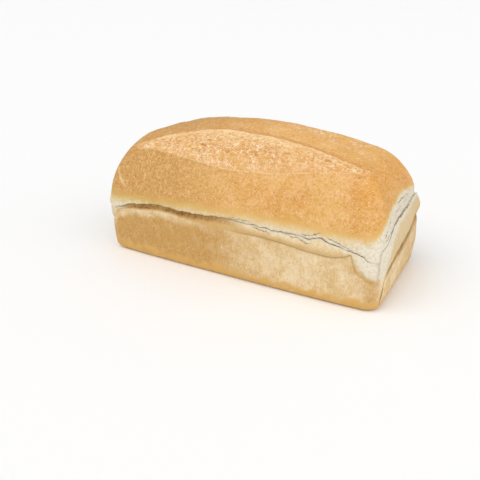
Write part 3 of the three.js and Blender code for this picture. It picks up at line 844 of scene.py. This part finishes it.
# - floury dough, ledge and recess
FLOUR = linear(230, 212, 178)
FLOUR_SHADED = linear(214, 193, 156)
SHRED_WHITE = linear(234, 225, 205)
SHRED_SHADED = linear(218, 205, 179)
SHRED_SPECK = linear(196, 178, 148)
LEDGE_END = linear(216, 193, 150)
# the ledge's underside and the valley under it: baked brown with painted shade
LEDGE_UNDERSIDE_BROWN_SHADE = linear(210, 174, 112)
VALLEY_OLIVE_SHADE = linear(154, 126, 70)
VALLEY_RUST_SHADE = linear(188, 136, 68)
RECESS_DARK = linear(144, 100, 48)
RECESS_BROWN = linear(192, 146, 80)
RECESS_TAN = linear(208, 169, 108)
# - golden crust
GOLD = linear(217, 159, 84)
GOLD_LIGHT = linear(228, 178, 108)
GOLD_PATCH = linear(236, 187, 128)
GOLD_YELLOW = linear(221, 170, 88)
GOLD_DARKER_LEFT = linear(197, 147, 80)
GOLD_END = linear(226, 162, 76)
GOLD_SPECK = linear(248, 206, 160)
GOLD_GLINT = linear(252, 214, 162)
GOLD_STREAK = linear(232, 194, 132)
DUSTED_GOLD = linear(224, 168, 90)
DUSTED_FLECK = linear(250, 218, 186)
FADE_PALE = linear(226, 196, 142)
FADE_PALE_DARKER_LEFT = linear(214, 186, 124)
FADE_DEEP = linear(220, 176, 100)
FADE_DEEP_DARKER_LEFT = linear(204, 162, 84)
# - split
TORN_TAN = linear(226, 174, 108)
TORN_CREAM = linear(247, 214, 164)
TORN_GRAIN = linear(224, 162, 96)
TORN_BROWN = linear(194, 130, 58)
TORN_WARM = linear(224, 168, 86)
TORN_STREAK = linear(250, 226, 196)
TORN_DUST = linear(252, 230, 192)
TORN_PALE = linear(250, 222, 174)
TORN_END = linear(226, 170, 104)
# painted highlight along the split's near lip
LIP_HIGHLIGHT = linear(250, 222, 172)
LIP_SHADE = linear(194, 130, 52)
# - wrinkles, seam and cracks
WRINKLE_PALE = linear(242, 210, 156)
WRINKLE_DARK = linear(176, 116, 50)
SEAM_TAN = linear(184, 166, 138)
CREASE_SHADE = linear(178, 144, 82)
# painted shade in the cracks
CRACK_SHADE = linear(122, 102, 72)
# What shaded spots are multiplied by
SHADE = (0.78, 0.66, 0.48, 1.0)

# Fine grain of the bump, in mm, and how strongly it shows
GRAIN_HEIGHT = 0.6
GRAIN_STRENGTH = 0.6
# Distance from a crack's line, in mm, where it is still dark and where it has faded out
CRACK_EDGES = (0.15, 0.5)
CREASE_EDGES = (0.2, 1.1)
# Roughness from the smoothest specks of the crust to the roughest
CRUST_ROUGHNESS = (0.62, 0.82)
CRUST_SPECULAR = 0.3


def bread_material():
    """Floury, tin-baked, golden and torn bread, told apart by the mesh's masks."""
    material = bpy.data.materials.new("bread_crust")
    n = Nodes(material)

    # noises, each with the size of its features in mm
    dust = n.noise(0.7, 2.0, 0.6)
    fine = n.noise(1.1, 2.0, 0.6)
    speck = n.noise(2.2, 4.0, 0.7)
    patch = n.noise(13.0, 4.0, 0.6)
    broad = n.noise(45.0, 2.0, 0.5)
    warm = n.noise(9.0, 3.0, 0.6, (0.6, 1.0, 1.0), 1.0)
    crumple = n.noise(1.5, 3.0, 0.6, (1.0, 1.0, 0.42), 1.5)
    streak = n.noise(2.2, 3.0, 0.6, (1.0, 1.0, 0.25), 0.6)
    strands = n.noise(1.5, 3.0, 0.65, (0.4, 1.0, 1.0), 0.8)

    # tin wall
    colour = n.colour(n.range(patch, 0.35, 0.65), WALL_TAN, WALL_CREAM)
    # baked wall, partly painted shadow where it is darkest, at the left of the front
    colour = n.colour(n.attribute("wall_bake_and_shadow"), colour, WALL_BAKED_AND_SHADOWED)
    whiter = n.range(n.attribute("wall_bake_and_shadow"), 0.2, 1.0, 0.55, 0.25)
    # painted highlight on raised crumples, and painted shade in the hollows between them
    raised_highlight = n.times(n.range(crumple, 0.52, 0.68), whiter)
    colour = n.colour(raised_highlight, colour, WALL_RAISED_HIGHLIGHT)
    colour = n.colour(n.range(crumple, 0.46, 0.34, 0.0, 0.6), colour, SHADE, "MULTIPLY")
    colour = n.colour(n.range(fine, 0.46, 0.3, 0.0, 0.35), colour, SHADE, "MULTIPLY")
    foot = n.times(n.attribute("low"), n.range(patch, 0.3, 0.5, 0.45, 1.0))
    colour = n.colour(foot, colour, FOOT_GOLD)

    # pale floury dough round the crack, the ledge and the brown recess
    floury = n.colour(n.range(speck, 0.4, 0.66), FLOUR, FLOUR_SHADED)
    whitest = n.colour(n.range(speck, 0.4, 0.66), SHRED_WHITE, SHRED_SHADED)
    floury = n.colour(n.attribute("whitest"), floury, whitest)
    floury = n.colour(n.range(dust, 0.6, 0.75, 0.0, 0.35), floury, SHRED_SPECK)
    colour = n.colour(n.times(n.attribute("end_ledge"), 0.75), colour, LEDGE_END)
    colour = n.colour(n.attribute("floury"), colour, floury)
    # baked brown with painted shade under the ledge
    colour = n.colour(n.attribute("under"), colour, LEDGE_UNDERSIDE_BROWN_SHADE)
    # the valley under the ledge: baked olive and rust with painted shade
    valley_brown_and_shade = n.colour(n.range(patch, 0.5, 0.62), VALLEY_OLIVE_SHADE, VALLEY_RUST_SHADE)
    colour = n.colour(n.attribute("valley"), colour, valley_brown_and_shade)
    brown = n.colour(n.range(speck, 0.3, 0.62), RECESS_DARK, RECESS_BROWN)
    brown = n.colour(n.attribute("deep"), RECESS_TAN, brown)
    colour = n.colour(n.attribute("sunk"), colour, brown)

    # golden crust, which fades through yellow to flour at its lower edge
    gold = n.colour(n.range(broad, 0.35, 0.65), GOLD, GOLD_LIGHT)
    gold = n.colour(n.range(patch, 0.42, 0.66, 0.0, 0.7), gold, GOLD_PATCH)
    gold = n.colour(n.range(warm, 0.46, 0.62, 0.0, 0.5), gold, GOLD_YELLOW)
    # the crust is darker towards the left end
    gold = n.colour(n.times(n.attribute("darker_left"), 0.85), gold, GOLD_DARKER_LEFT)
    gold = n.colour(n.times(n.attribute("end_baked"), 0.6), gold, GOLD_END)
    gold = n.colour(n.range(speck, 0.5, 0.68, 0.0, 0.42), gold, GOLD_SPECK)
    gold = n.colour(n.range(speck, 0.5, 0.32, 0.0, 0.6), gold, SHADE, "MULTIPLY")
    gold = n.colour(n.range(fine, 0.54, 0.72, 0.0, 0.28), gold, GOLD_GLINT)
    gold = n.colour(n.range(fine, 0.46, 0.3, 0.0, 0.48), gold, SHADE, "MULTIPLY")
    streaks = n.times(n.attribute("darker_left"), n.range(streak, 0.5, 0.66, 0.0, 0.45))
    gold = n.colour(streaks, gold, GOLD_STREAK)
    gold = n.colour(n.times(n.attribute("dusted"), n.range(warm, 0.45, 0.6)), gold, DUSTED_GOLD)
    flecks = n.times(n.attribute("dusted"), n.range(speck, 0.5, 0.58))
    flecks = n.times(flecks, n.range(warm, 0.52, 0.42))
    gold = n.colour(flecks, gold, DUSTED_FLECK)
    ragged = n.times(n.maths("SUBTRACT", speck, 0.5), 0.9)
    edge = n.maths("ADD", n.attribute("gold"), ragged)
    paler = n.colour(n.attribute("darker_left"), FADE_PALE, FADE_PALE_DARKER_LEFT)
    deeper = n.colour(n.attribute("darker_left"), FADE_DEEP, FADE_DEEP_DARKER_LEFT)
    colour = n.colour(n.range(edge, -0.2, 0.7), colour, paler)
    colour = n.colour(n.range(edge, 0.2, 1.1), colour, deeper)
    colour = n.colour(n.range(edge, 0.5, 1.5), colour, gold)

    # torn crumb in the split, in strands along it with browned grains at its middle
    grain = n.cells(1.1)
    torn = n.colour(n.range(strands, 0.4, 0.6), TORN_TAN, TORN_CREAM)
    torn = n.colour(n.range(grain, 0.3, 0.9, 0.0, 0.7), torn, TORN_GRAIN)
    browned = n.times(n.attribute("torn_middle"), n.range(patch, 0.38, 0.58, 0.2, 1.0))
    browned = n.times(browned, n.range(strands, 0.56, 0.4))
    torn = n.colour(browned, torn, TORN_BROWN)
    torn = n.colour(n.range(warm, 0.5, 0.62, 0.0, 0.65), torn, TORN_WARM)
    torn = n.colour(n.range(streak, 0.54, 0.66, 0.0, 0.6), torn, TORN_STREAK)
    torn = n.colour(n.range(dust, 0.54, 0.7, 0.0, 0.6), torn, TORN_DUST)
    torn = n.colour(n.range(dust, 0.46, 0.3, 0.0, 0.75), torn, SHADE, "MULTIPLY")
    far_side = n.range(n.attribute("torn_share"), 0.55, 0.95)
    pale = n.times(far_side, n.range(strands, 0.35, 0.6, 0.15, 0.6))
    torn = n.colour(pale, torn, TORN_PALE)
    torn = n.colour(n.times(n.attribute("torn_end"), 0.45), torn, TORN_END)
    colour = n.colour(n.range(n.attribute("torn"), 0.2, 0.7), colour, torn)
    # painted highlight along the split's near lip
    lip_highlight = n.times(n.attribute("lip_highlight"), n.range(speck, 0.4, 0.6, 0.2, 0.8))
    colour = n.colour(lip_highlight, colour, LIP_HIGHLIGHT)
    colour = n.colour(n.times(n.attribute("lip_shadow"), 0.8), colour, LIP_SHADE)

    # wrinkles, seam and cracks
    colour = n.colour(n.range(n.attribute("wrinkle"), 0.1, 1.0, 0.0, 0.8), colour, WRINKLE_PALE)
    colour = n.colour(n.range(n.attribute("wrinkle"), -0.1, -1.0, 0.0, 0.8), colour, WRINKLE_DARK)
    colour = n.colour(n.times(n.attribute("seam"), 0.45), colour, SEAM_TAN)
    # painted shade along the crease at the ledge's lower edge
    crease = n.times(n.line("over_groove", 0.0, *CREASE_EDGES), n.attribute("crease"))
    colour = n.colour(crease, colour, CREASE_SHADE)
    wander = n.times(n.maths("SUBTRACT", n.noise(3.2, 4.0, 0.7), 0.5), 5.0)
    jagged = n.times(n.maths("SUBTRACT", n.noise(1.6, 3.0, 0.6), 0.5), 1.6)
    cracks = n.times(n.line("over_crack", jagged, *CRACK_EDGES), n.attribute("open"))
    for number in ("1", "2"):
        thread = n.line("hair_gap_" + number, wander, *CRACK_EDGES)
        thread = n.times(thread, n.attribute("hair_" + number))
        cracks = n.maths("MAXIMUM", cracks, n.times(thread, n.range(dust, 0.35, 0.5)))
    cracks = n.times(cracks, n.maths("SUBTRACT", 1.0, n.attribute("torn")))
    # dark grey painted shade in the cracks and hair cracks
    colour = n.colour(n.times(cracks, 0.85), colour, CRACK_SHADE)

    # fine grain and the depth of the cracks
    grain_height = n.maths("ADD", n.times(speck, 0.5), n.times(fine, 0.4))
    grain_height = n.maths("SUBTRACT", grain_height, n.times(cracks, 0.6))
    bump = n.new("ShaderNodeBump")
    bump.inputs["Strength"].default_value = GRAIN_STRENGTH
    bump.inputs["Distance"].default_value = GRAIN_HEIGHT * MM
    n.put(bump.inputs["Height"], grain_height)

    shader = n.new("ShaderNodeBsdfPrincipled")
    n.put(shader.inputs["Base Color"], colour)
    n.put(shader.inputs["Roughness"], n.range(speck, 0.3, 0.7, *CRUST_ROUGHNESS))
    shader.inputs["Specular IOR Level"].default_value = CRUST_SPECULAR
    n.put(shader.inputs["Normal"], bump.outputs["Normal"])
    output = n.new("ShaderNodeOutputMaterial")
    n.put(output.inputs["Surface"], shader.outputs["BSDF"])
    return material


mesh.materials.append(bread_material())


# ---------------------------------------------------------------- floor, light and camera

FLOOR_SIZE = 80.0                       # metres from the middle to each side
FLOOR_WHITE = (0.97, 0.97, 0.97, 1)
FLOOR_ROUGHNESS = 0.9
WORLD_STRENGTH = 0.58
# Direction of the camera from the loaf, in degrees, and its distance and target in metres
AZIMUTH = 29.2
ELEVATION = 24.27
DISTANCE = 0.480
TARGET = (-0.0057, -0.0239, 0.0209)
LENS = 40.81                            # mm, on a sensor of that width
SENSOR = 36.0
NEAREST = 0.01                          # metres from the camera


def floor():
    floor_mesh = bpy.data.meshes.new("floor")
    low, high = -FLOOR_SIZE, FLOOR_SIZE
    corners = [(low, low, 0), (high, low, 0), (high, high, 0), (low, high, 0)]
    floor_mesh.from_pydata(corners, [], [(0, 1, 2, 3)])
    piece = bpy.data.objects.new("floor", floor_mesh)
    bpy.context.scene.collection.objects.link(piece)
    material = bpy.data.materials.new("floor_white")
    n = Nodes(material)
    shader = n.new("ShaderNodeBsdfPrincipled")
    shader.inputs["Base Color"].default_value = FLOOR_WHITE
    shader.inputs["Roughness"].default_value = FLOOR_ROUGHNESS
    output = n.new("ShaderNodeOutputMaterial")
    n.put(output.inputs["Surface"], shader.outputs["BSDF"])
    floor_mesh.materials.append(material)


def soft_light(name, source, strength, spread_degrees):
    """An even light from the direction of source, softer with a wider spread."""
    light = bpy.data.lights.new(name, "SUN")
    light.energy = strength
    light.angle = math.radians(spread_degrees)
    piece = bpy.data.objects.new(name, light)
    bpy.context.scene.collection.objects.link(piece)
    turn = (-Vector(source)).to_track_quat("-Z", "Y")
    piece.matrix_world = turn.to_matrix().to_4x4()


def camera():
    azimuth, elevation = math.radians(AZIMUTH), math.radians(ELEVATION)
    level = math.cos(elevation)
    back = Vector((math.sin(azimuth) * level, -math.cos(azimuth) * level, math.sin(elevation)))
    data = bpy.data.cameras.new("camera")
    data.lens = LENS
    data.sensor_width = SENSOR
    data.clip_start = NEAREST
    piece = bpy.data.objects.new("camera", data)
    bpy.context.scene.collection.objects.link(piece)
    turn = (-back).to_track_quat("-Z", "Y")
    piece.matrix_world = Matrix.LocRotScale(Vector(TARGET) + DISTANCE * back, turn, None)
    bpy.context.scene.camera = piece


floor()
soft_light("key", source=(-0.3, -0.6, 1.0), strength=1.15, spread_degrees=50.0)
soft_light("fill", source=(1.0, -0.2, 0.5), strength=0.95, spread_degrees=80.0)

world = bpy.data.worlds.new("studio")
bpy.context.scene.world = world
world.use_nodes = True
backdrop = world.node_tree.nodes["Background"]
backdrop.inputs["Color"].default_value = (1, 1, 1, 1)
backdrop.inputs["Strength"].default_value = WORLD_STRENGTH
bpy.context.scene.view_settings.view_transform = "Standard"

camera()
